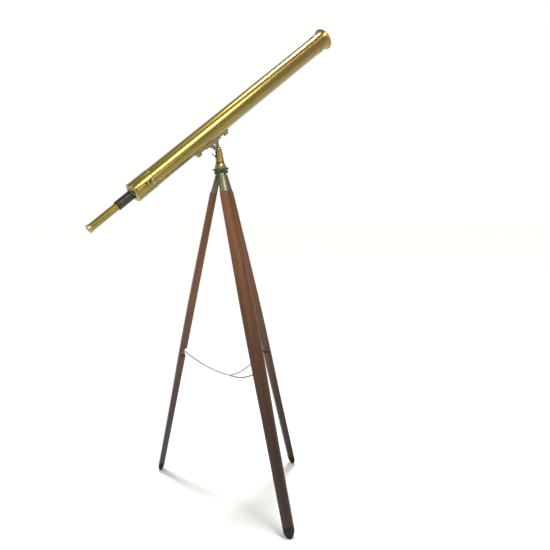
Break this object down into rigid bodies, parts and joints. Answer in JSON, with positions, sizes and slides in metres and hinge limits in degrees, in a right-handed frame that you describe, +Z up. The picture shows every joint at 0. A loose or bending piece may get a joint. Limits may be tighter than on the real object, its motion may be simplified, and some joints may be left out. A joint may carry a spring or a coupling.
{
  "type": "brass telescope on tripod",
  "caption": "Long brass refracting telescope with a flared objective and a rack-focused draw tube, on a pillar head and a folding mahogany tripod with spreader chains.",
  "frame": {"origin": "on the floor, under the middle of the bounding box", "axes": "+Z up; the telescope points towards +X and +Y, raised, and the near leg stands towards -Y"},
  "size_m": [1.0916, 0.723, 2.2343],
  "materials": {
    "lacquered_brass": "aged, satin, warm olive gold",
    "tarnished_brass": "dull, grey-green",
    "dark_bronze": "dark patinated bronze",
    "blackened_brass": "chemically blackened",
    "steel": "dull",
    "black_iron": "black",
    "mahogany": "french polished, worn",
    "glass": "coated",
    "leather": "greased"
  },
  "bodies": {
    "head": {"tripod_head": "dark_bronze", "head_flange": "lacquered_brass", "friction_washer": "leather", "hinge_pin_front": "steel", "hinge_pin_left": "steel", "hinge_pin_back": "steel", "chain_ring": "steel", "chain_front": "steel", "chain_left": "steel", "chain_back": "steel"},
    "turntable": {"pillar": "lacquered_brass", "spindle_nut": "steel", "pivot_bolt": "steel", "pivot_nut": "lacquered_brass"},
    "clamp": {"clamp_lever": "black_iron"},
    "telescope": {"saddle_casting": "tarnished_brass", "saddle_bar": "lacquered_brass", "saddle_screw_rear": "steel", "saddle_screw_front": "steel", "main_tube": "lacquered_brass", "screw_boss_rear": "lacquered_brass", "screw_boss_front": "lacquered_brass", "objective_bell": "lacquered_brass", "lens_cell": "lacquered_brass", "flint_lens": "glass", "crown_lens": "glass", "retaining_ring": "blackened_brass", "baffle_front": "blackened_brass", "baffle_rear": "blackened_brass", "focuser_sleeve": "lacquered_brass", "tail_cap": "lacquered_brass", "guide_tube": "blackened_brass", "guide_ring": "blackened_brass", "pinion_bush": "lacquered_brass"},
    "wing_rear": {"wing_screw_rear": "lacquered_brass"},
    "wing_front": {"wing_screw_front": "lacquered_brass"},
    "focus": {"pinion": "steel", "focus_knob": "lacquered_brass"},
    "lock": {"lock_screw": "lacquered_brass"},
    "draw": {"draw_tube": "blackened_brass", "draw_bush": "blackened_brass", "rack": "lacquered_brass", "erector_cell": "blackened_brass", "erector_lens": "glass"},
    "eyepiece": {"eyepiece_tube": "lacquered_brass", "eyecup": "lacquered_brass", "eye_lens": "glass", "field_lens": "glass"},
    "leg_front": {"leg_wood_front": "mahogany", "leg_sheath_front": "tarnished_brass", "leg_shoe_front": "black_iron", "chain_eye_front": "steel"},
    "leg_left": {"leg_wood_left": "mahogany", "leg_sheath_left": "tarnished_brass", "leg_shoe_left": "black_iron", "chain_eye_left": "steel"},
    "leg_back": {"leg_wood_back": "mahogany", "leg_sheath_back": "tarnished_brass", "leg_shoe_back": "black_iron", "chain_eye_back": "steel"}
  },
  "joints": [
    {"name": "leg_front_fold", "type": "hinge", "parent": "head", "child": "leg_front", "pos_m": [-0.00038, 0.02368, 1.53114], "axis": [-0.9766, -0.1816, -0.115], "range_deg": [-18.78, 0], "deforming": ["chain_front", "chain_ring"]},
    {"name": "leg_left_fold", "type": "hinge", "parent": "head", "child": "leg_left", "pos_m": [-0.01734, 0.04336, 1.53109], "axis": [0.324, 0.9393, 0.1131], "range_deg": [-19.02, 0], "deforming": ["chain_left"]},
    {"name": "leg_back_fold", "type": "hinge", "parent": "head", "child": "leg_back", "pos_m": [0.00803, 0.04808, 1.53408], "axis": [0.6526, -0.7577, 0.0019], "range_deg": [-8.47, 0], "deforming": ["chain_back"]},
    {"name": "azimuth", "type": "hinge", "parent": "head", "child": "turntable", "pos_m": [-0.00323, 0.03838, 1.5321], "axis": [-0.101, -0.0846, 0.9913], "continuous": true},
    {"name": "altitude", "type": "hinge", "parent": "turntable", "child": "telescope", "pos_m": [-0.01364, 0.02967, 1.6342], "axis": [0.4913, -0.8706, -0.0242], "range_deg": [-44.6, 32.3]},
    {"name": "clamp_turn", "type": "hinge", "parent": "turntable", "child": "clamp", "pos_m": [-0.02734, 0.02274, 1.60498], "axis": [-0.8651, -0.4846, -0.1295], "range_deg": [-60, 30]},
    {"name": "wing_screw_rear_turn", "type": "hinge", "parent": "telescope", "child": "wing_rear", "pos_m": [-0.09555, -0.01581, 1.60721], "axis": [-0.516, -0.3133, 0.7972], "continuous": true},
    {"name": "wing_screw_front_turn", "type": "hinge", "parent": "telescope", "child": "wing_front", "pos_m": [0.02093, 0.04714, 1.70735], "axis": [-0.516, -0.3133, 0.7972], "continuous": true},
    {"name": "lock_screw_turn", "type": "hinge", "parent": "telescope", "child": "lock", "pos_m": [-0.29991, -0.18515, 1.48439], "axis": [0.4913, -0.8706, -0.0242], "range_deg": [0, 180]},
    {"name": "draw_slide", "type": "slide", "parent": "telescope", "child": "draw", "axis": [-0.7017, -0.3792, -0.6032], "range_m": [-0.075, 0.1]},
    {"name": "focus_turn", "type": "hinge", "parent": "telescope", "child": "focus", "pos_m": [-0.28157, -0.17499, 1.49148], "axis": [0.4913, -0.8706, -0.0242], "range_deg": [-960, 720]},
    {"name": "eyepiece_slide", "type": "slide", "parent": "draw", "child": "eyepiece", "axis": [-0.7017, -0.3792, -0.6032], "range_m": [-0.04, 0.02]}
  ],
  "couplings": [
    {"joint": "focus_turn", "follows": "draw_slide", "rad_per_m": -166.67}
  ]
}
